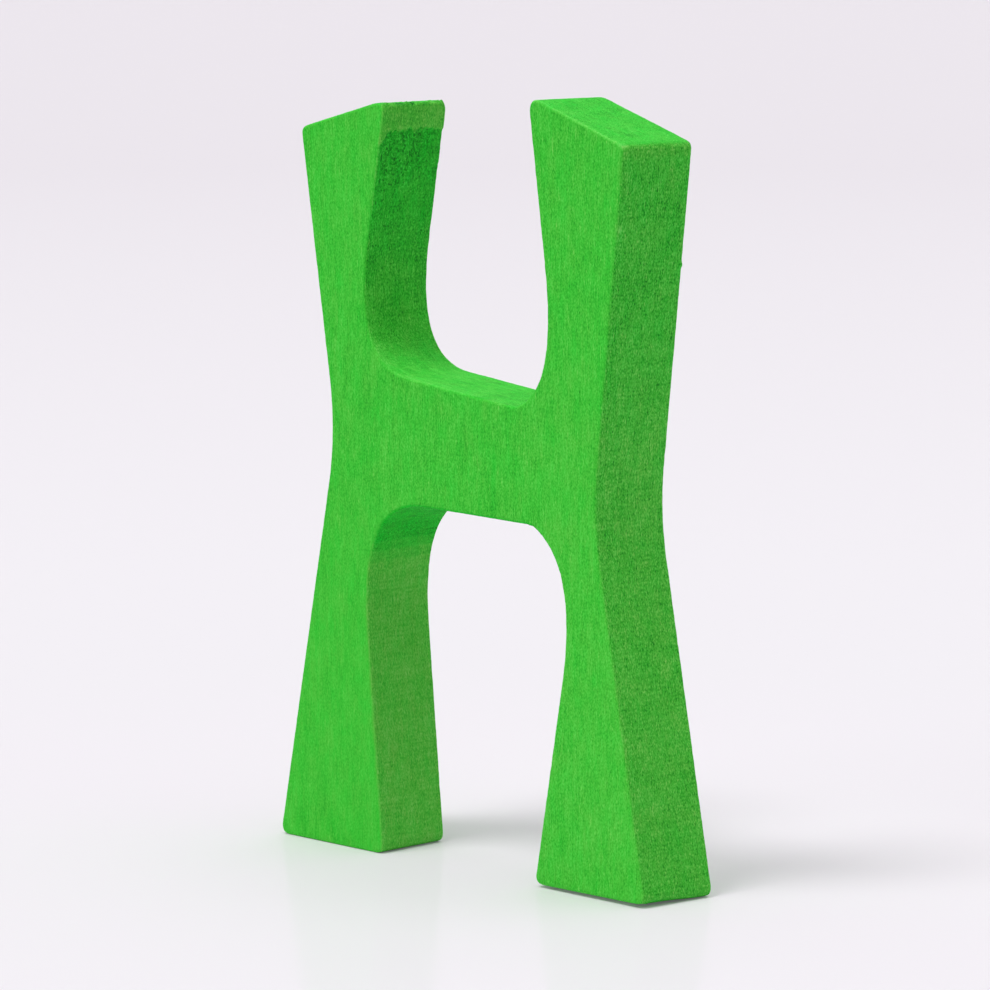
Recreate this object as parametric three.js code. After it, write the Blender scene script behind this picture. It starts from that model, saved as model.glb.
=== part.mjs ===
// A capital letter H sawn from one board of stained wood, standing on its two feet.
// Millimetres, +Z up. The front face looks along -Y and the soles rest on Z = 0.
// The origin is on the floor, midway between the feet and midway through the board.
// The letter is sawn by hand, so each stem has sizes of its own.

import * as THREE from 'three';
import { mergeVertices } from 'three/addons/utils/BufferGeometryUtils.js';

// Whole letter
const LETTER_HEIGHT = 80.6; // floor to the highest corner before it is sanded, on the right stem
const FEET_SPAN = 54.8; // outer corner to outer corner of the feet, on the front face
const BOARD_THICKNESS = 9.3;
const BACK_EXTRA_WIDTH = 1.4; // the saw leaned a little, so the feet span more at the back
const EDGE_ROUND = 0.25; // sanding along the front and back edges
const CORNER_EXTRA_ROUND = 0.45; // how much rounder the corners of the feet and tops are

// Crossbar
const CROSSBAR_HEIGHT = 37.1; // floor to the underside at its right end
const CROSSBAR_RISE = 0.5; // how much higher the underside is at its left end
const CROSSBAR_LEFT_DEPTH = 14; // top to underside, at the left end
const CROSSBAR_RIGHT_DEPTH = 11.8; // top to underside, at the right end

// Left stem. An inset is measured inwards from the outer corner of the stem's foot, to where
// two straight sides would meet. A sweep is the length of a side that its curve takes up.
const LEFT_FOOT_WIDTH = 16.2;
const LEFT_ARCH_INSET = 12.7; // lower inner wall to crossbar
const LEFT_ARCH_STEM_SWEEP = 14.4;
const LEFT_ARCH_BAR_SWEEP = 9.9;
const LEFT_WAIST_INSET = 9;
const LEFT_WAIST_HEIGHT = 44.1;
const LEFT_WAIST_SWEEP = 5.7;
const LEFT_NOTCH_INSET = 11.9; // upper inner wall to crossbar
const LEFT_NOTCH_STEM_SWEEP = 13.2;
const LEFT_NOTCH_BAR_SWEEP = 8.3;
const LEFT_TOP_INSET = 3.8;
const LEFT_TOP_WIDTH = 13;
const LEFT_TOP_FALL = 3.3; // how far the sawn top drops towards its outer corner
const LEFT_TOP_SHORTFALL = 1.3; // how far the left stem stays below the right one

// Right stem, measured in the same way. Its two curves start at sharp corners of the crossbar.
const RIGHT_FOOT_WIDTH = 15.8;
const RIGHT_ARCH_INSET = 9.6;
const RIGHT_ARCH_FALL = 3.4; // crossbar's corner down to where the straight sides would meet
const RIGHT_ARCH_STEM_SWEEP = 12.6;
const RIGHT_ARCH_BAR_INSET = 16.3; // the corner where the crossbar's underside ends
const RIGHT_WAIST_INSET = 7.4;
const RIGHT_WAIST_HEIGHT = 38.6;
const RIGHT_WAIST_SWEEP = 4.7;
const RIGHT_NOTCH_INSET = 12.6;
const RIGHT_NOTCH_RISE = 1.9; // crossbar's corner up to where the straight sides would meet
const RIGHT_NOTCH_STEM_SWEEP = 12.8;
const RIGHT_NOTCH_BAR_INSET = 18.7; // the corner where the crossbar's top ends
const RIGHT_TOP_INSET = 3.3;
const RIGHT_TOP_WIDTH = 13.6;
const RIGHT_TOP_FALL = 4.6;

// Smoothness of the curves
const SWEEP_STEPS = 16; // flats along one curve of the outline
const EDGE_STEPS = 4; // flats across a sanded edge

// Stain
const GREEN_STAIN = 0x3cc337;
const STAIN_ROUGHNESS = 0.75;

// A sawn corner of the outline, with the reach of its curve along the side before and the side after it
function sawn(x, z, before, after) {
  return { point: new THREE.Vector2(x, z), before, after };
}

// A sharp corner of the outline that is only sanded
function sanded(x, z) {
  return { point: new THREE.Vector2(x, z) };
}

// The corners in order, anticlockwise as seen from the front
function letterCorners() {
  const left = (inset) => inset - FEET_SPAN / 2;
  const right = (inset) => FEET_SPAN / 2 - inset;
  const undersideLeft = CROSSBAR_HEIGHT + CROSSBAR_RISE;
  const undersideRight = CROSSBAR_HEIGHT;
  const barTopLeft = undersideLeft + CROSSBAR_LEFT_DEPTH;
  const barTopRight = undersideRight + CROSSBAR_RIGHT_DEPTH;
  const stemTopLeft = LETTER_HEIGHT - LEFT_TOP_SHORTFALL;
  const stemTopRight = LETTER_HEIGHT;
  const archSweep = Math.hypot(RIGHT_ARCH_BAR_INSET - RIGHT_ARCH_INSET, RIGHT_ARCH_FALL);
  const notchSweep = Math.hypot(RIGHT_NOTCH_BAR_INSET - RIGHT_NOTCH_INSET, RIGHT_NOTCH_RISE);
  return [
    sanded(left(0), 0),
    sanded(left(LEFT_FOOT_WIDTH), 0),
    sawn(left(LEFT_ARCH_INSET), undersideLeft, LEFT_ARCH_STEM_SWEEP, LEFT_ARCH_BAR_SWEEP),
    sanded(right(RIGHT_ARCH_BAR_INSET), undersideRight),
    sawn(right(RIGHT_ARCH_INSET), undersideRight - RIGHT_ARCH_FALL, archSweep, RIGHT_ARCH_STEM_SWEEP),
    sanded(right(RIGHT_FOOT_WIDTH), 0),
    sanded(right(0), 0),
    sawn(right(RIGHT_WAIST_INSET), RIGHT_WAIST_HEIGHT, RIGHT_WAIST_SWEEP, RIGHT_WAIST_SWEEP),
    sanded(right(RIGHT_TOP_INSET), stemTopRight - RIGHT_TOP_FALL),
    sanded(right(RIGHT_TOP_INSET + RIGHT_TOP_WIDTH), stemTopRight),
    sawn(right(RIGHT_NOTCH_INSET), barTopRight + RIGHT_NOTCH_RISE, RIGHT_NOTCH_STEM_SWEEP, notchSweep),
    sanded(right(RIGHT_NOTCH_BAR_INSET), barTopRight),
    sawn(left(LEFT_NOTCH_INSET), barTopLeft, LEFT_NOTCH_BAR_SWEEP, LEFT_NOTCH_STEM_SWEEP),
    sanded(left(LEFT_TOP_INSET + LEFT_TOP_WIDTH), stemTopLeft),
    sanded(left(LEFT_TOP_INSET), stemTopLeft - LEFT_TOP_FALL),
    sawn(left(LEFT_WAIST_INSET), LEFT_WAIST_HEIGHT, LEFT_WAIST_SWEEP, LEFT_WAIST_SWEEP),
  ];
}

// How far sanding reaches from a corner between two sides, so that its curve is nowhere tighter
// than the corner's rounding. The sides run in the direction of the outline.
function sandedReach(sideBefore, sideAfter) {
  const turn = Math.atan2(sideBefore.cross(sideAfter), sideBefore.dot(sideAfter));
  const halfCorner = (Math.PI - Math.abs(turn)) / 2;
  const tightest = EDGE_ROUND + CORNER_EXTRA_ROUND;
  return (tightest * Math.cos(halfCorner)) / Math.sin(halfCorner) ** 2;
}

// Straight sides joined by quadratic curves. Where two curves would meet on a short side, both
// take up less of it.
function sweptOutline(corners) {
  const count = corners.length;
  const next = (i) => (i + 1) % count;
  const last = (i) => (i + count - 1) % count;
  const sides = corners.map(({ point }, i) => corners[next(i)].point.clone().sub(point));
  const reaches = corners.map(({ before, after }, i) => {
    const sand = sandedReach(sides[last(i)], sides[i]);
    return { before: before ?? sand, after: after ?? sand };
  });
  const shares = sides.map((side, i) => {
    const length = side.length();
    return 1 / Math.max(length, reaches[i].after + reaches[next(i)].before);
  });

  const outline = new THREE.Shape();
  corners.forEach(({ point }, i) => {
    const start = point.clone().addScaledVector(sides[last(i)], -reaches[i].before * shares[last(i)]);
    const end = point.clone().addScaledVector(sides[i], reaches[i].after * shares[i]);
    if (i === 0) {
      outline.moveTo(start.x, start.y);
    } else {
      outline.lineTo(start.x, start.y);
    }
    outline.quadraticCurveTo(point.x, point.y, end.x, end.y);
  });
  outline.closePath();
  return outline;
}

// The board sawn along the outline, with its front and back edges sanded round
function sawnBoard(outline) {
  const board = new THREE.ExtrudeGeometry(outline, {
    depth: BOARD_THICKNESS - 2 * EDGE_ROUND,
    bevelThickness: EDGE_ROUND,
    bevelSize: EDGE_ROUND,
    bevelOffset: -EDGE_ROUND,
    bevelSegments: EDGE_STEPS,
    curveSegments: SWEEP_STEPS,
  });
  board.translate(0, 0, EDGE_ROUND - BOARD_THICKNESS / 2);
  board.rotateX(Math.PI / 2);
  return board;
}

// The walls spread evenly from the front face to the back
function leanWalls(board) {
  const place = board.getAttribute('position');
  for (let i = 0; i < place.count; i += 1) {
    const depth = place.getY(i) / BOARD_THICKNESS + 0.5;
    place.setX(i, place.getX(i) * (1 + (depth * BACK_EXTRA_WIDTH) / FEET_SPAN));
  }
}

// One closed skin with shared points
function weld(board) {
  board.deleteAttribute('normal');
  board.deleteAttribute('uv');
  const skin = mergeVertices(board);
  skin.computeVertexNormals();
  return skin;
}

const board = sawnBoard(sweptOutline(letterCorners()));
leanWalls(board);

const stain = new THREE.MeshStandardMaterial({
  color: GREEN_STAIN,
  roughness: STAIN_ROUGHNESS,
  metalness: 0,
});
const letter = new THREE.Mesh(weld(board), stain);
letter.name = 'letter_h';

const group = new THREE.Group();
group.add(letter);

export default group;
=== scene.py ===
"""A capital letter H, sawn from one board, sanded and stained green, standing on a pale floor.

Lengths are in millimetres and angles in degrees. A pair of numbers is a span over which something fades
in or out.
"""
from math import cos, radians, sin
from types import SimpleNamespace

import bpy
import numpy as np
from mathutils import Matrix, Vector, noise


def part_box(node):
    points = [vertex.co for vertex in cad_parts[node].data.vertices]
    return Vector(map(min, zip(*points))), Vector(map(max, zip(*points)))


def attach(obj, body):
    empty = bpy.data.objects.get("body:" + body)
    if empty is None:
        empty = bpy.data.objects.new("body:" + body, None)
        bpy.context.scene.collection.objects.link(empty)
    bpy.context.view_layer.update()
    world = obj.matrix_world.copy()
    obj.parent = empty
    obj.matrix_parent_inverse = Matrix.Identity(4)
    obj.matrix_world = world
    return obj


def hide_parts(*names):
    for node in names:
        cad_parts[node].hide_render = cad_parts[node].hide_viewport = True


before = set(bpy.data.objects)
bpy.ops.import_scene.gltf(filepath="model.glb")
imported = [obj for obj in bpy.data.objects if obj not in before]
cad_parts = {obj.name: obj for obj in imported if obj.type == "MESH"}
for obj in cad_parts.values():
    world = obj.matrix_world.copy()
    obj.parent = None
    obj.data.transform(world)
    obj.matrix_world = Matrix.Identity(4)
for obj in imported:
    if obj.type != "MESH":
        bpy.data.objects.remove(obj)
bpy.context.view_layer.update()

MM = 0.001
LETTER = "letter_h"
FRONT_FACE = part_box(LETTER)[0].y / MM

# Camera
VIEW_AIM = Vector((5.93, FRONT_FACE, 39.72))
VIEW_DISTANCE = 511.62
VIEW_AZIMUTH = 46.16
VIEW_ELEVATION = 7.34
LENS_LENGTH = 182.77
SENSOR_WIDTH = 36.0

# Light
ROOM_COLOUR = (0.84, 0.80, 0.85)
ROOM_LIGHT = 0.03
LAMPS = (
    # name, azimuth, elevation, spread, strength
    ("ceiling", 0.0, 90.0, 60.0, 1.00),
    ("ceiling_back", 180.0, 80.0, 90.0, 1.04),
    ("key", -15.0, 66.0, 18.0, 0.98),
    ("front_fill", -15.0, 15.0, 40.0, 0.74),
    ("side_fill", 75.0, 15.0, 70.0, 0.21),
)

# Floor
FLOOR_SIZE = 12000.0
FLOOR_REACH = 1150.0
FLOOR_STOPS = (
    # distance from the letter, colour
    # Painted light: near the letter the floor is painted rosier, to cancel the green light that the letter
    # throws on it
    (20.0, (0.900, 0.853, 0.912)),
    (130.0, (0.880, 0.853, 0.897)),
    (220.0, (0.880, 0.853, 0.897)),
    # Painted shade: far from the letter the floor is painted darker
    (FLOOR_REACH, (0.805, 0.765, 0.815)),
)
FLOOR_ROUGHNESS = 0.8
FLOOR_GLOSS = 0.20
FLOOR_GLOSS_ROUGHNESS = 0.12
# Painted light: the share of the floor's seen brightness that is its own glow, which lightens the shadows
# on it
FLOOR_GLOW_SHARE = 0.10

# Skin of the letter
SKIN_CELL = 0.15
SKIN_TRIANGLES = 190000
MERGE_GAP = 0.002
SANDING_SHARE = 0.4
SANDING_PASSES = 1
EDGE_FEEL_PASSES = 14
EDGE_FEEL = (0.012, 0.055)

# Dents in the skin, in the order in which they are made
DENTS = (
    # name, zone, depth, length of its waves or None where it is even, height in the waves that stays put
    ("hand_sanding", "off_sole", 0.03, 1.60, 0.50),
    ("saw_wave", "wall", 0.05, 7.00, 0.50),
    ("edge_chips", "edge", 0.09, 1.10, 0.60),
    ("proud_band", "band", 0.07, None, 0.00),
    ("crisp_corner", "corner", 0.15, None, 0.00),
    ("torn_grain", "torn", 0.24, 0.90, 0.65),
    ("torn_fibres", "torn", 0.16, 0.35, 0.60),
    ("rough_top", "rough_top", 0.22, 0.45, 0.55),
    ("nicks", "nicks", -1.00, None, 0.00),
    ("nibs", "nibs", 1.00, None, 0.00),
)
WAVE_LAYERS = 2
LEAST_SHARE = 0.002

# Ragged outlines
RAG_FADE = 1.0
RAG_STEP = 2.0

# Small marks, with ragged outlines
MARKS = (
    # place, radius, depth of a nick or minus the height of a nib, how much deeper the stain looks
    ((13.10, -4.65, 76.10), 0.25, 0.06, 0.25),
    ((23.22, -4.20, 67.65), 0.25, 0.02, -0.60),
    ((-10.90, -4.40, 78.90), 0.35, 0.15, 0.30),
    ((-11.45, -2.20, 78.87), 0.40, 0.12, 0.60),
    ((-11.35, -1.50, 78.82), 0.32, 0.06, 0.55),
    ((-11.35, -0.35, 78.80), 0.28, 0.08, 0.60),
    ((-11.30, 0.10, 78.76), 0.22, 0.05, 0.40),
    ((-11.25, 1.70, 78.60), 0.35, 0.06, 0.30),
    ((23.88, -4.15, 75.96), 0.45, 0.04, -0.30),
    ((23.89, 3.65, 69.17), 0.25, 0.05, 0.32),
    ((23.35, 4.45, 63.74), 0.25, -0.10, 0.00),
    ((-11.75, 4.55, 73.70), 0.25, -0.14, 0.00),
    ((11.00, -4.60, 37.10), 0.25, -0.12, 0.00),
)
MARK_RAG = 1.1
MARK_RAG_LENGTH = 0.35
MARK_RAG_LAYERS = 2
LEAST_SPREAD = 0.02

# Worn front and outer edges of the right sole, which stand off the floor
SOLE_LIFT_FRONT = 0.34
SOLE_LIFT_SIDE = 0.42
SOLE_LIFT_CORNER = 0.10
SOLE_CORNER_RADIUS = 0.95
SOLE_FRONT_SLOPE = 0.005
SOLE_SIDE_END = (1.0, 8.5)
SOLE_WEAR_WIDTH = (0.4, 2.8)
SOLE_WEAR_HEIGHT = (0.4, 2.0)
SOLE_SIDE_HEIGHT = 1.0
SOLE_KEPT_FLAT = (0.3, 1.2)

# How squarely a surface faces one way, where 1 is straight there. A corner adds right and up
FRONT_FACING = (0.60, 0.90)
BROAD_FACING = (0.35, 0.75)
INWARD_FACING = (0.30, 0.60)
OUTWARD_FACING = (0.50, 0.80)
UPWARD_FACING = (0.50, 0.80)
ROOF_FACING = (0.15, 0.50)
RIM_FACING = (0.20, 0.50)
ROUGH_TOP_FACING = (-0.20, 0.10)
CORNER_FACING = (1.15, 1.40)

# Left stem's inner wall above the crossbar, with a sanded band at its top and torn grain below
UPPER_WALL_START = (50.0, 58.0)
BAND_DEPTH = 2.9
BAND_EDGE = (-0.1, 0.1)
BAND_FRONT = (0.3, 1.8)
BAND_FRONT_DROP = 1.0
BAND_RAG = 0.55
BAND_RAG_LAYERS = 3
BAND_RAGS_ACROSS = 1.3
BAND_RAGS_UP = 0.5
BAND_RAG_SLICE = 7.0
TORN_DEPTH = (6.2, 13.0)
TORN_FRONT = (0.2, 0.9)
TORN_BACK = (4.0, 9.0)
TORN_BACK_LOSS = 0.5
TORN_WALL_TOP = (57.0, 70.0)
ROUGH_TOP_DEPTH = (0.2, 0.9)
ROUGH_TOP_TORN = 0.7
CORNER_DEPTH = 2.0

# Arch below the crossbar
ARCH_TOP = 45.0
ARCH_ROOF_LOWEST = 20.0

# Legs on the front face
LEFT_STEM_SIDE = (-12.0, -4.0)
LEFT_LEG_END = (20.0, 45.0)
RIGHT_LEG_SIDE = (5.0, 15.0)
RIGHT_LEG_END = (35.0, 60.0)

# Right stem's outer wall
OUTER_WALL_SIDE = 10.0
OUTER_FOOT_END = (12.0, 40.0)
OUTER_LEG_END = (42.0, 58.0)
OUTER_TOP_START = (74.3, 75.2)

# Notch above the crossbar
CROSSBAR_HIGHEST = 60.0
NOTCH_SIDE = 3.0
NOTCH_START = (48.0, 50.0)
NOTCH_END = (56.0, 62.0)
NOTCH_RIM_WIDTH = (0.4, 1.8)
NOTCH_SMOOTHNESS = 0.73

# Front rims of the right stem's top and of the left stem's inner wall, which are painted paler, and on the
# inner wall yellower, as a painted highlight
TOP_RIM_START = (70.0, 74.0)
TOP_RIM_WIDTH = (0.3, 0.7)
INNER_RIM_START = (64.0, 71.0)
INNER_RIM_END = (74.8, 75.6)
INNER_RIM_WIDTH = (0.4, 0.8)

# Finish of the areas, with painted light and shade on some of them
FINISH_AND_PAINTED_LIGHT = {
    # area: how much softer its grain is, how much warmer its colour and how much deeper
    "left_front": (0.15, 0.00, 0.000),
    "left_leg_front": (0.55, 0.00, 0.000),
    "right_leg_front": (0.00, 0.20, -0.035),
    "outer_wall": (0.00, 0.15, 0.000),
    "outer_foot": (0.30, 0.00, 0.000),
    "outer_leg": (0.00, 0.45, -0.040),
    "outer_top": (0.00, 0.60, 0.000),
    # Painted sheen: faces that look up are painted a less yellow green, standing in for the pale sheen
    # they take from the room
    "upward_face": (0.50, -0.30, 0.000),
    "crossbar_top": (0.00, 0.15, 0.000),
    "band": (0.50, 1.00, -0.050),
    "torn_wall": (0.00, 0.35, 0.120),
    # Painted bounce light: the top of this wall, facing the other stem across the notch, is painted a
    # purer green
    "torn_wall_top": (0.00, -1.00, 0.000),
    "smooth_wall": (0.55, 0.00, 0.000),
    "arch": (0.90, 0.00, 0.000),
    "arch_wall": (0.00, 0.90, -0.160),
    # Painted shade and painted bounce light: the arch's roof faces down and is painted deeper and a purer
    # green
    "arch_roof": (0.00, -1.10, 0.130),
    "notch_wall": (0.00, 0.00, -0.050),
    "notch_rim": (0.00, 0.00, -0.120),
    # Painted highlight: the edge of the inner wall's front rim is painted yellower
    "highlit_inner_rim": (0.00, 1.20, 0.000),
}
EDGE_WEAR = 0.35
# Edges are paler all round from wear; the two front rims are much paler still as a painted highlight
RIM_WEAR_AND_HIGHLIGHT = {"top_rim": 2.2, "inner_rim": 1.8, "notch": 0.5}
BRUSHING = {"upward_face": 0.6, "crossbar_top": 0.4}
STORED_ZONES = ("sawn", "torn", "wear_and_highlight", "soft", "brushed", "warm", "spot_and_shade")

# Pattern of the wood
WOOD_LAYERS = {
    # layer: size of its specks along X, Y and Z, detail, roughness, distortion
    "grain": ((0.11, 0.11, 0.24), 1.0, 0.50, 0.0),
    "streak": ((0.13, 0.13, 1.50), 1.0, 0.50, 0.0),
    "long_streak": ((0.55, 0.55, 7.00), 2.0, 0.50, 0.0),
    "mottle": ((2.40, 2.40, 4.50), 3.0, 0.60, 0.0),
    "fibre": ((0.10, 0.10, 0.90), 1.0, 0.50, 0.0),
    "saw_line": ((5.00, 5.00, 0.34), 2.0, 0.50, 0.0),
    "brush_stroke": ((2.60, 0.42, 2.60), 2.0, 0.50, 0.0),
    "torn_speck": ((0.50, 0.50, 0.58), 2.0, 0.55, 1.8),
    "torn_curl": ((0.80, 0.80, 0.90), 1.0, 0.50, 2.2),
    "warm_patch": ((1.70, 1.70, 3.00), 3.0, 0.60, 0.0),
    "warm_streak": ((0.45, 0.45, 5.00), 2.0, 0.50, 0.0),
}
FIBRE_SHARPNESS = 6.0
FIBRE_OFFSET = 3.7
CURL_SHARPNESS = 22.0

# Stain, from where it is thinnest to where it has soaked in deepest
STAIN_STOPS = (
    (0.00, (0.160, 0.740, 0.110)),
    (0.30, (0.080, 0.655, 0.058)),
    (0.50, (0.052, 0.575, 0.037)),
    (0.70, (0.024, 0.445, 0.022)),
    (1.00, (0.004, 0.170, 0.009)),
)
STAIN_ROUGHNESS = 0.60
STAIN_SHEEN = 0.12
MIDDLE = 0.5

# How far each layer swings the depth of the stain, and what else changes it
DEPTH_SWINGS = {
    "grain": 0.95,
    "streak": 0.48,
    "long_streak": 0.18,
    "mottle": 0.34,
    "saw_line": 0.32,
    "brush_stroke": 0.60,
    "torn_speck": 1.90,
}
SAWN_CONTRAST = 0.70
SOFT_CONTRAST_LOSS = 0.55
TORN_CONTRAST_LOSS = 0.75
FIBRE_PALER = 0.24
CURL_PALER = 0.30
TORN_DEEPER = 0.09
WEAR_AND_HIGHLIGHT_PALER = 0.40
PALING_PATCHES = 1.2
PALING_SPARED = 0.1

# How far each layer swings the warmth of the stain, and what a warm stain has more of
WARMTH_SWINGS = {"warm_patch": 2.0, "warm_streak": 1.1}
FIBRE_WARMER = 0.8
WARM_TINT = {"Red": 0.55, "Green": -0.03, "Blue": 0.15}

# Relief of the grain
RELIEF_SWINGS = {"grain": 1.0, "saw_line": 1.0, "torn_speck": 3.0}
RELIEF_HEIGHT = 0.012
GRAIN_ROUGHNESS = 0.20


def ramp(value, span):
    """0 below a span, 1 above it and a smooth step between."""
    low, high = span
    share = np.clip((value - low) / (high - low), 0.0, 1.0)
    return share * share * (3.0 - 2.0 * share)


def fall(value, span):
    """1 below a span, 0 above it and a smooth step between."""
    return 1.0 - ramp(value, span)


def ragged(place, layers):
    """Noise either side of nothing, each layer half as large and half as strong as the one before."""
    return noise.fractal(place, RAG_FADE, RAG_STEP, layers)


def pick(piece):
    """Makes a piece the only one that operators act on."""
    bpy.ops.object.select_all(action="DESELECT")
    piece.select_set(True)
    bpy.context.view_layer.objects.active = piece


def apply_modifier(piece, modifier):
    pick(piece)
    bpy.ops.object.modifier_apply(modifier=modifier.name)


def add_node(tree, kind, inputs=None, **settings):
    """A shader node with settings, and inputs set to a value or linked to another node's output."""
    node = tree.nodes.new(kind)
    for name, value in settings.items():
        setattr(node, name, value)
    for name, value in (inputs or {}).items():
        if isinstance(value, bpy.types.NodeSocket):
            tree.links.new(value, node.inputs[name])
        else:
            node.inputs[name].default_value = value
    return node


def math_node(tree, operation, *values, clamp=False):
    inputs = dict(enumerate(values))
    return add_node(tree, "ShaderNodeMath", inputs, operation=operation, use_clamp=clamp).outputs[0]


def swing(tree, value, amount):
    """A 0 to 1 value turned into a swing of the given amount either side of nothing."""
    return math_node(tree, "MULTIPLY", math_node(tree, "SUBTRACT", value, MIDDLE), amount)


def zone(tree, name):
    return add_node(tree, "ShaderNodeAttribute", attribute_name=name).outputs["Fac"]


def set_stops(ramp_node, stops):
    """Gives a colour ramp its positions and colours."""
    elements = ramp_node.color_ramp.elements
    while len(elements) < len(stops):
        elements.new(MIDDLE)
    for element, (position, colour) in zip(elements, stops):
        element.position = position
        element.color = (*colour, 1.0)


def new_material(name):
    material = bpy.data.materials.new(name)
    material.use_nodes = True
    material.node_tree.nodes.clear()
    return material, material.node_tree


def wood_layer(tree, place, size, detail, roughness, distortion):
    """Noise from 0 to 1 whose specks have the given size along X, Y and Z."""
    scale = tuple(1.0 / (length * MM) for length in size)
    stretched = add_node(tree, "ShaderNodeMapping", {"Vector": place, "Scale": scale})
    specks = add_node(tree, "ShaderNodeTexNoise", {
        "Vector": stretched.outputs[0], "Scale": 1.0, "Detail": detail, "Roughness": roughness,
        "Distortion": distortion,
    })
    return specks.outputs[0]


def wood_pattern(tree):
    """The layers of the wood's pattern, and the stored zones: where it was sawn, sanded, brushed or torn,
    and where light and shade are painted.
    """
    place = add_node(tree, "ShaderNodeTexCoord").outputs["Object"]
    wood = {name: zone(tree, name) for name in STORED_ZONES}
    for name, layer in WOOD_LAYERS.items():
        wood[name] = wood_layer(tree, place, *layer)
    thread = wood["fibre"]
    wood["fibre"] = math_node(tree, "MULTIPLY_ADD", thread, FIBRE_SHARPNESS, -FIBRE_OFFSET, clamp=True)
    ridge = math_node(tree, "ABSOLUTE", math_node(tree, "SUBTRACT", wood["torn_curl"], MIDDLE))
    wood["torn_curl"] = math_node(tree, "MULTIPLY_ADD", ridge, -CURL_SHARPNESS, 1.0, clamp=True)
    return wood


def stain_depth_and_painted_light(tree, wood):
    """How deep the stain looks, 0 to 1, from the grain and from the marks of sawing and sanding, with
    painted shade and painted highlights in it.
    """
    swings = {name: swing(tree, wood[name], amount) for name, amount in DEPTH_SWINGS.items()}
    fine = math_node(tree, "ADD", swings["grain"], swings["streak"])
    fine = math_node(tree, "MULTIPLY_ADD", wood["fibre"], -FIBRE_PALER, fine)
    contrast = math_node(tree, "MULTIPLY_ADD", wood["sawn"], SAWN_CONTRAST, 1.0)
    contrast = math_node(tree, "MULTIPLY_ADD", wood["soft"], -SOFT_CONTRAST_LOSS, contrast)
    contrast = math_node(tree, "MULTIPLY_ADD", wood["torn"], -TORN_CONTRAST_LOSS, contrast)
    depth = math_node(tree, "MULTIPLY_ADD", fine, contrast, MIDDLE)
    depth = math_node(tree, "ADD", depth, swings["long_streak"])
    depth = math_node(tree, "ADD", depth, swings["mottle"])
    depth = math_node(tree, "MULTIPLY_ADD", wood["sawn"], swings["saw_line"], depth)
    depth = math_node(tree, "MULTIPLY_ADD", wood["brushed"], swings["brush_stroke"], depth)
    torn = math_node(tree, "MULTIPLY_ADD", wood["torn_curl"], -CURL_PALER, swings["torn_speck"])
    torn = math_node(tree, "ADD", torn, TORN_DEEPER)
    depth = math_node(tree, "MULTIPLY_ADD", wood["torn"], torn, depth)
    # Edges paler where worn, and the front rims paler still as a painted highlight
    paling = math_node(tree, "MULTIPLY_ADD", wood["mottle"], PALING_PATCHES, -PALING_SPARED)
    paling = math_node(tree, "MULTIPLY", wood["wear_and_highlight"], paling)
    depth = math_node(tree, "MULTIPLY_ADD", paling, -WEAR_AND_HIGHLIGHT_PALER, depth)
    return math_node(tree, "ADD", depth, wood["spot_and_shade"], clamp=True)


def stain_warmth_and_painted_light(tree, wood):
    """How much yellower the stain is than its usual green, or bluer where it is below nothing, with
    painted bounce light, painted sheen and painted highlights in it.
    """
    warmth = wood["warm"]
    for name, amount in WARMTH_SWINGS.items():
        warmth = math_node(tree, "ADD", warmth, swing(tree, wood[name], amount))
    return math_node(tree, "MULTIPLY_ADD", wood["fibre"], FIBRE_WARMER, warmth)


def stain_colour(tree, depth, warmth):
    """The stain's green at a depth, tinted by its warmth."""
    stain = add_node(tree, "ShaderNodeValToRGB", {"Fac": depth})
    set_stops(stain, STAIN_STOPS)
    tint = add_node(tree, "ShaderNodeCombineColor", {
        part: math_node(tree, "MULTIPLY_ADD", warmth, more, 1.0) for part, more in WARM_TINT.items()
    })
    colours = {0: stain.outputs[0], 1: tint.outputs[0]}
    return add_node(tree, "ShaderNodeVectorMath", colours, operation="MULTIPLY").outputs[0]


def wood_relief(tree, wood):
    """Fine grain that can be felt, with saw lines on the walls and pits where the grain is torn."""
    swings = {name: swing(tree, wood[name], amount) for name, amount in RELIEF_SWINGS.items()}
    height = math_node(tree, "MULTIPLY_ADD", wood["sawn"], swings["saw_line"], swings["grain"])
    height = math_node(tree, "MULTIPLY_ADD", wood["torn"], swings["torn_speck"], height)
    inputs = {"Height": height, "Strength": 1.0, "Distance": RELIEF_HEIGHT * MM}
    return add_node(tree, "ShaderNodeBump", inputs).outputs[0]


def green_stained_wood():
    """Fine upright grain under a green water stain, paler where the edges are sanded through, with painted
    highlights on two front rims, painted shade and bounce light under the arch, painted bounce light in
    the notch and a painted sheen on the tops.
    """
    material, tree = new_material("green_stained_wood")
    wood = wood_pattern(tree)
    stained = add_node(tree, "ShaderNodeBsdfPrincipled", {
        "Base Color": stain_colour(tree, stain_depth_and_painted_light(tree, wood), stain_warmth_and_painted_light(tree, wood)),
        "Roughness": math_node(tree, "MULTIPLY_ADD", wood["grain"], GRAIN_ROUGHNESS, STAIN_ROUGHNESS),
        "Specular IOR Level": STAIN_SHEEN,
        "Normal": wood_relief(tree, wood),
    })
    add_node(tree, "ShaderNodeOutputMaterial", {"Surface": stained.outputs[0]})
    return material


def seen_rays(tree):
    """1 for rays that bring the background to the camera, straight or by way of gloss or glass."""
    path = add_node(tree, "ShaderNodeLightPath")
    seen = math_node(tree, "MAXIMUM", path.outputs["Is Camera Ray"], path.outputs["Is Glossy Ray"])
    return math_node(tree, "MAXIMUM", seen, path.outputs["Is Transmission Ray"])


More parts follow.
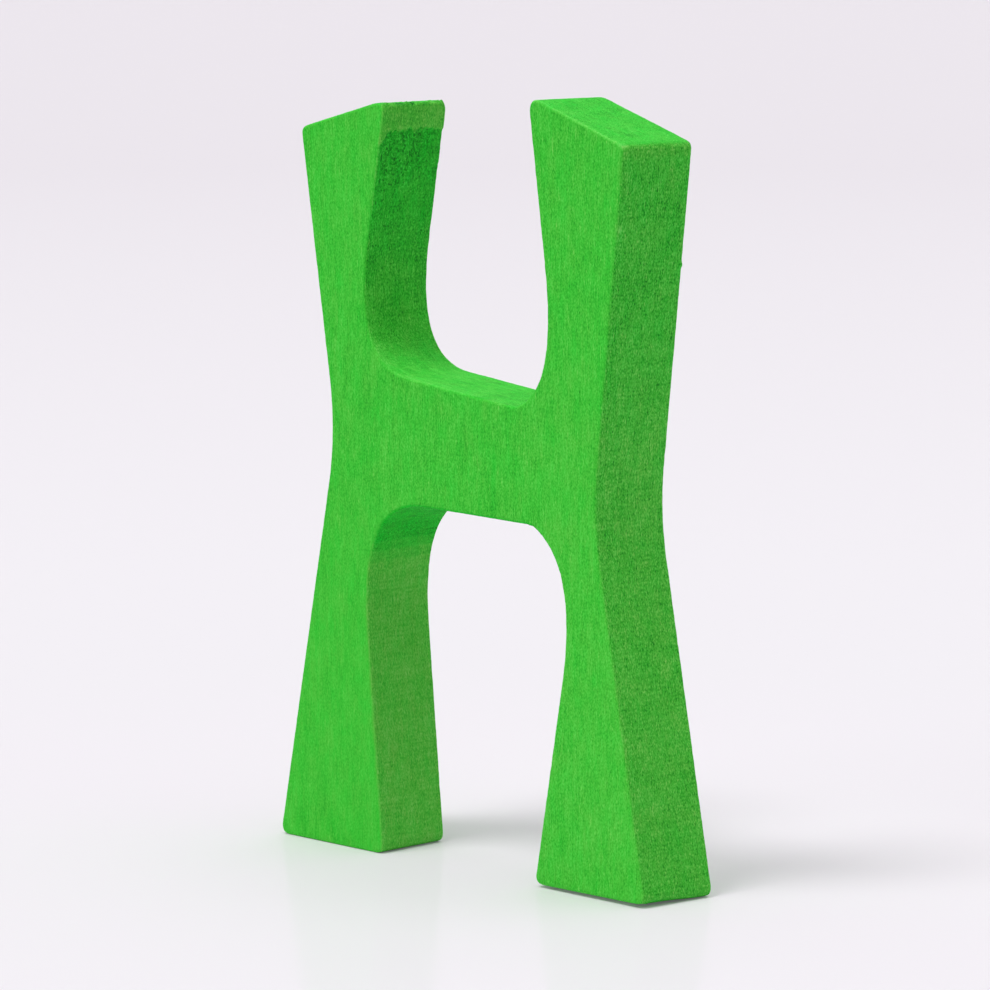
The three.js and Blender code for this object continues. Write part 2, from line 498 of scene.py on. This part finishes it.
def pale_floor_with_painted_light():
    """Faintly glossy pale paint with painted light in its colour: painted rosier near the letter to cancel
    the green light that the letter throws on it, painted darker far away as painted shade, and a painted
    glow of its own, seen by the camera and in gloss, that lightens its shadows.
    """
    material, tree = new_material("pale_floor_with_painted_light")
    place = add_node(tree, "ShaderNodeTexCoord").outputs["Object"]
    distance = add_node(tree, "ShaderNodeVectorMath", {0: place}, operation="LENGTH").outputs["Value"]
    reach = math_node(tree, "DIVIDE", distance, FLOOR_REACH * MM, clamp=True)
    colour = add_node(tree, "ShaderNodeValToRGB", {"Fac": reach})
    set_stops(colour, [(away / FLOOR_REACH, paint) for away, paint in FLOOR_STOPS])
    paint = add_node(tree, "ShaderNodeBsdfPrincipled", {
        "Base Color": colour.outputs[0], "Roughness": FLOOR_ROUGHNESS, "Specular IOR Level": 0.0,
        "Coat Weight": FLOOR_GLOSS, "Coat Roughness": FLOOR_GLOSS_ROUGHNESS,
    })
    # Painted light: a glow in the floor's own colour, mixed in for rays that are seen, which lightens its
    # shadows
    glow = add_node(tree, "ShaderNodeEmission", {"Color": colour.outputs[0], "Strength": 1.0})
    share = math_node(tree, "MULTIPLY", seen_rays(tree), FLOOR_GLOW_SHARE)
    floor = add_node(tree, "ShaderNodeMixShader", {0: share, 1: paint.outputs[0], 2: glow.outputs[0]})
    add_node(tree, "ShaderNodeOutputMaterial", {"Surface": floor.outputs[0]})
    return material


def view_direction(azimuth, elevation):
    """From the letter towards the camera or a lamp: azimuth 0 is straight in front of the letter."""
    around, up = radians(azimuth), radians(elevation)
    return Vector((sin(around) * cos(up), -cos(around) * cos(up), sin(up)))


def place_camera():
    towards = view_direction(VIEW_AZIMUTH, VIEW_ELEVATION)
    bpy.ops.object.camera_add(location=(VIEW_AIM + towards * VIEW_DISTANCE) * MM)
    camera = bpy.context.object
    camera.rotation_euler = (-towards).to_track_quat("-Z", "Y").to_euler()
    camera.data.lens = LENS_LENGTH
    camera.data.sensor_width = SENSOR_WIDTH
    bpy.context.scene.camera = camera


def add_lamp(name, azimuth, elevation, spread, strength):
    """A broad soft lamp that lights the whole floor alike."""
    towards = view_direction(azimuth, elevation)
    bpy.ops.object.light_add(type="SUN", location=towards)
    lamp = bpy.context.object
    lamp.name = name
    lamp.rotation_euler = towards.to_track_quat("Z", "Y").to_euler()
    lamp.data.angle = radians(spread)
    lamp.data.energy = strength


def light_room():
    world = bpy.data.worlds.new("pale_room")
    bpy.context.scene.world = world
    world.use_nodes = True
    tree = world.node_tree
    tree.nodes.clear()
    seen = add_node(tree, "ShaderNodeBackground", {"Color": (*ROOM_COLOUR, 1.0), "Strength": 1.0})
    light = add_node(tree, "ShaderNodeBackground", {"Color": (1.0, 1.0, 1.0, 1.0), "Strength": ROOM_LIGHT})
    shaders = {0: seen_rays(tree), 1: light.outputs[0], 2: seen.outputs[0]}
    room = add_node(tree, "ShaderNodeMixShader", shaders)
    add_node(tree, "ShaderNodeOutputWorld", {"Surface": room.outputs[0]})
    for lamp in LAMPS:
        add_lamp(*lamp)


def lay_floor():
    bpy.ops.object.select_all(action="DESELECT")
    bpy.ops.mesh.primitive_plane_add(size=FLOOR_SIZE * MM)
    floor = bpy.context.object
    floor.name = "floor"
    floor.data.materials.append(pale_floor_with_painted_light())


def skin_points(letter):
    """Where each point of the skin is, and which way it faces."""
    points = letter.data.vertices
    place = np.empty(3 * len(points))
    facing = np.empty(3 * len(points))
    points.foreach_get("co", place)
    points.foreach_get("normal", facing)
    return place.reshape(-1, 3) / MM, facing.reshape(-1, 3)


def sand(letter, passes):
    sanding = letter.modifiers.new("sanding", "SMOOTH")
    sanding.factor = SANDING_SHARE
    sanding.iterations = passes
    apply_modifier(letter, sanding)


def even_skin():
    """The CAD letter as one even skin, fine enough to carry torn grain and uneven sanding."""
    letter = bpy.data.objects.new("sawn_letter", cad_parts[LETTER].data.copy())
    bpy.context.collection.objects.link(letter)
    letter.data.materials.clear()
    pick(letter)
    bpy.ops.object.mode_set(mode="EDIT")
    bpy.ops.mesh.select_all(action="SELECT")
    bpy.ops.mesh.remove_doubles(threshold=MERGE_GAP * MM)
    bpy.ops.object.mode_set(mode="OBJECT")
    skin = letter.modifiers.new("even_skin", "REMESH")
    skin.mode = "VOXEL"
    skin.voxel_size = SKIN_CELL * MM
    apply_modifier(letter, skin)
    sand(letter, SANDING_PASSES)
    return letter


def felt_edges(letter):
    """How much each point stands out from a well sanded copy of the letter: 0 on flats, 1 on edges."""
    copy = bpy.data.objects.new("sanded_copy", letter.data.copy())
    bpy.context.collection.objects.link(copy)
    sand(copy, EDGE_FEEL_PASSES)
    place, facing = skin_points(letter)
    stands_out = ((place - skin_points(copy)[0]) * facing).sum(axis=1)
    bpy.data.objects.remove(copy)
    return ramp(stands_out, EDGE_FEEL)


def measure_skin(letter):
    """The skin's points: where they are, which way they face, and how far in and down they lie."""
    place, facing = skin_points(letter)
    x, y, z = place.T
    right, back, up = facing.T
    return SimpleNamespace(
        place=place, x=x, y=y, z=z, right=right, back=back, up=up,
        from_front=y - FRONT_FACE, below_left_top=z[x < 0].max() - z,
    )


def below_band(skin):
    """How far each point is below the ragged lower edge of the sanded band."""
    rag = np.array([
        ragged(Vector((BAND_RAGS_ACROSS * y, BAND_RAGS_UP * z, BAND_RAG_SLICE)), BAND_RAG_LAYERS)
        for y, z in zip(skin.y, skin.z)
    ])
    drop = BAND_FRONT_DROP * fall(skin.from_front, BAND_FRONT)
    return skin.below_left_top - BAND_DEPTH - drop - BAND_RAG * rag


def left_inner_walls(skin):
    """The left stem's inner walls: band and torn grain above the crossbar, and the arch below it."""
    wall = ramp(skin.right, INWARD_FACING) * (skin.x < 0)
    upper_wall = wall * ramp(skin.z, UPPER_WALL_START)
    below = below_band(skin)
    band = upper_wall * fall(below, BAND_EDGE)
    torn = upper_wall * ramp(below, BAND_EDGE) * fall(skin.below_left_top, TORN_DEPTH)
    torn *= ramp(skin.from_front, TORN_FRONT) * (1.0 - TORN_BACK_LOSS * ramp(skin.from_front, TORN_BACK))
    torn_wall = upper_wall * (1.0 - band)
    arch = wall * (skin.z < ARCH_TOP)
    arch_roof = ramp(-skin.up, ROOF_FACING) * (skin.z > ARCH_ROOF_LOWEST)
    return {
        "band": band,
        "torn": torn,
        "torn_wall": torn_wall,
        "torn_wall_top": torn_wall * ramp(skin.z, TORN_WALL_TOP),
        "arch": arch,
        "arch_wall": arch * (1.0 - arch_roof),
        "arch_roof": arch_roof,
    }


def broad_faces(skin):
    """The areas of the front face, of the right stem's outer wall and of the faces that look up."""
    front = ramp(-skin.back, FRONT_FACING)
    left_front = front * fall(skin.x, LEFT_STEM_SIDE)
    outer_wall = ramp(skin.right, OUTWARD_FACING) * (skin.x > OUTER_WALL_SIDE)
    upward_face = ramp(skin.up, UPWARD_FACING)
    return {
        "left_front": left_front,
        "left_leg_front": left_front * fall(skin.z, LEFT_LEG_END),
        "right_leg_front": front * ramp(skin.x, RIGHT_LEG_SIDE) * fall(skin.z, RIGHT_LEG_END),
        "outer_wall": outer_wall,
        "outer_foot": outer_wall * fall(skin.z, OUTER_FOOT_END),
        "outer_leg": outer_wall * fall(skin.z, OUTER_LEG_END),
        "outer_top": outer_wall * ramp(skin.z, OUTER_TOP_START),
        "upward_face": upward_face,
        "crossbar_top": upward_face * (skin.z < CROSSBAR_HIGHEST),
    }


def notch_and_rims(skin):
    """The sawn walls all round, the notch above the crossbar, and the rims and corners of the tops."""
    sawn = fall(np.abs(skin.back), BROAD_FACING)
    notch = (skin.x < NOTCH_SIDE) * ramp(skin.z, NOTCH_START) * fall(skin.z, NOTCH_END)
    top_rim = (skin.x > 0) * ramp(skin.z, TOP_RIM_START) * ramp(skin.up, RIM_FACING)
    inner_rim = (skin.x < 0) * ramp(skin.z, INNER_RIM_START) * fall(skin.z, INNER_RIM_END)
    inner_rim *= ramp(skin.right, RIM_FACING)
    rough_top = (skin.x < 0) * ramp(skin.right, ROUGH_TOP_FACING)
    corner = (skin.x < 0) * ramp(skin.right + skin.up, CORNER_FACING)
    return {
        "sawn": sawn,
        "notch": notch,
        "notch_wall": notch * sawn,
        "notch_rim": notch * sawn * fall(skin.from_front, NOTCH_RIM_WIDTH),
        "top_rim": top_rim * fall(skin.from_front, TOP_RIM_WIDTH),
        "inner_rim": inner_rim * fall(skin.from_front, INNER_RIM_WIDTH),
        "rough_top": rough_top * fall(skin.below_left_top, ROUGH_TOP_DEPTH),
        "corner": corner * (skin.below_left_top < CORNER_DEPTH),
    }


def spread_of(place, mark, radius):
    """A soft, ragged spot around a mark, about 1 at its middle."""
    away = ((place - np.array(mark)) ** 2).sum(axis=1) / radius ** 2
    spread = np.exp(-away)
    for index in np.flatnonzero(spread > LEAST_SPREAD):
        rag = ragged(Vector(place[index]) / MARK_RAG_LENGTH, MARK_RAG_LAYERS)
        spread[index] *= max(1.0 + MARK_RAG * rag, 0.0)
    return spread


def lift_of_sole(skin):
    """How far the worn front and outer edges of the right sole stand off the floor."""
    from_side = skin.x[skin.z < SOLE_SIDE_HEIGHT].max() - skin.x
    front = SOLE_LIFT_FRONT - SOLE_FRONT_SLOPE * from_side
    side = SOLE_LIFT_SIDE * fall(skin.from_front, SOLE_SIDE_END)
    lift = np.where(skin.from_front < from_side, front, side)
    lift *= fall(np.minimum(skin.from_front, from_side), SOLE_WEAR_WIDTH)
    from_corner = np.hypot(skin.from_front, from_side)
    lift += SOLE_LIFT_CORNER * np.exp(-(from_corner / SOLE_CORNER_RADIUS) ** 2)
    return lift * (skin.x > 0) * fall(skin.z, SOLE_WEAR_HEIGHT)


def weigh(areas, weights):
    """The sum of some areas, each times its weight."""
    return sum(weight * areas[name] for name, weight in weights.items())


def find_zones(letter):
    """How strongly each finish, each patch of painted light or shade and each dent shows at each point of
    the skin.
    """
    skin = measure_skin(letter)
    edges = felt_edges(letter)
    areas = {**left_inner_walls(skin), **broad_faces(skin), **notch_and_rims(skin)}
    areas["smooth_wall"] = np.maximum(areas["torn_wall"], NOTCH_SMOOTHNESS * areas["notch_wall"])
    areas["highlit_inner_rim"] = edges * areas["inner_rim"]
    softer, warmer, deeper = (dict(zip(FINISH_AND_PAINTED_LIGHT, column)) for column in zip(*FINISH_AND_PAINTED_LIGHT.values()))
    marks = [
        (spread_of(skin.place, place, radius), depth, darker) for place, radius, depth, darker in MARKS
    ]
    off_sole = ramp(skin.z, SOLE_KEPT_FLAT)
    return {
        "sawn": areas["sawn"],
        "torn": np.maximum(areas["torn"], ROUGH_TOP_TORN * areas["rough_top"]),
        "wear_and_highlight": edges * (EDGE_WEAR + weigh(areas, RIM_WEAR_AND_HIGHLIGHT)),
        "soft": weigh(areas, softer),
        "brushed": weigh(areas, BRUSHING),
        "warm": weigh(areas, warmer),
        # Deeper where the stain soaks in, at marks, and with painted shade under the arch
        "spot_and_shade": weigh(areas, deeper) + sum(darker * spread for spread, _, darker in marks),
        "off_sole": off_sole,
        "wall": off_sole * areas["sawn"],
        "edge": off_sole * edges,
        "band": areas["band"],
        "corner": areas["corner"],
        "rough_top": areas["rough_top"],
        "nicks": sum(max(depth, 0.0) * spread for spread, depth, _ in marks),
        "nibs": sum(max(-depth, 0.0) * spread for spread, depth, _ in marks),
        "sole_lift": lift_of_sole(skin),
    }


def add_group(letter, name, shares):
    group = letter.vertex_groups.new(name=name)
    for index in np.flatnonzero(shares > LEAST_SHARE):
        group.add([int(index)], float(shares[index]), "REPLACE")
    return group


def dent(letter, name, shares, depth, length=None, still=0.0, direction="NORMAL"):
    """Moves the skin in and out where a zone has shares, in waves of a length or evenly."""
    group = add_group(letter, name, shares)
    denting = letter.modifiers.new(name, "DISPLACE")
    denting.vertex_group = group.name
    denting.strength = depth * MM
    denting.mid_level = still
    denting.direction = direction
    if length:
        waves = bpy.data.textures.new(name, "CLOUDS")
        waves.noise_scale = length * MM
        waves.noise_depth = WAVE_LAYERS
        denting.texture = waves
        denting.texture_coords = "LOCAL"
    apply_modifier(letter, denting)
    letter.vertex_groups.remove(letter.vertex_groups[name])


def rough_up(letter, zones):
    """Makes the marks of sawing, sanding and wear in the skin."""
    for name, area, depth, length, still in DENTS:
        dent(letter, name, zones[area], depth, length, still)
    dent(letter, "worn_sole", zones["sole_lift"], 1.0, direction="Z")


def store_zones(letter, zones):
    """Keeps the zones that the stain and the painted light and shade follow with the skin."""
    for name in STORED_ZONES:
        attribute = letter.data.attributes.new(name, "FLOAT", "POINT")
        attribute.data.foreach_set("value", zones[name].astype(np.float32))


def thin_out(letter):
    """Fewer triangles, with the zones carried along."""
    letter.data.calc_loop_triangles()
    thinning = letter.modifiers.new("thinning", "DECIMATE")
    thinning.ratio = SKIN_TRIANGLES / len(letter.data.loop_triangles)
    thinning.use_collapse_triangulate = True
    apply_modifier(letter, thinning)


def saw_letter():
    """The letter, in place of the CAD node."""
    letter = even_skin()
    zones = find_zones(letter)
    rough_up(letter, zones)
    store_zones(letter, zones)
    thin_out(letter)
    letter.data.shade_smooth()
    letter.data.materials.append(green_stained_wood())
    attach(letter, "root")
    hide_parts(LETTER)


bpy.context.scene.view_settings.view_transform = "Standard"
place_camera()
light_room()
lay_floor()
saw_letter()
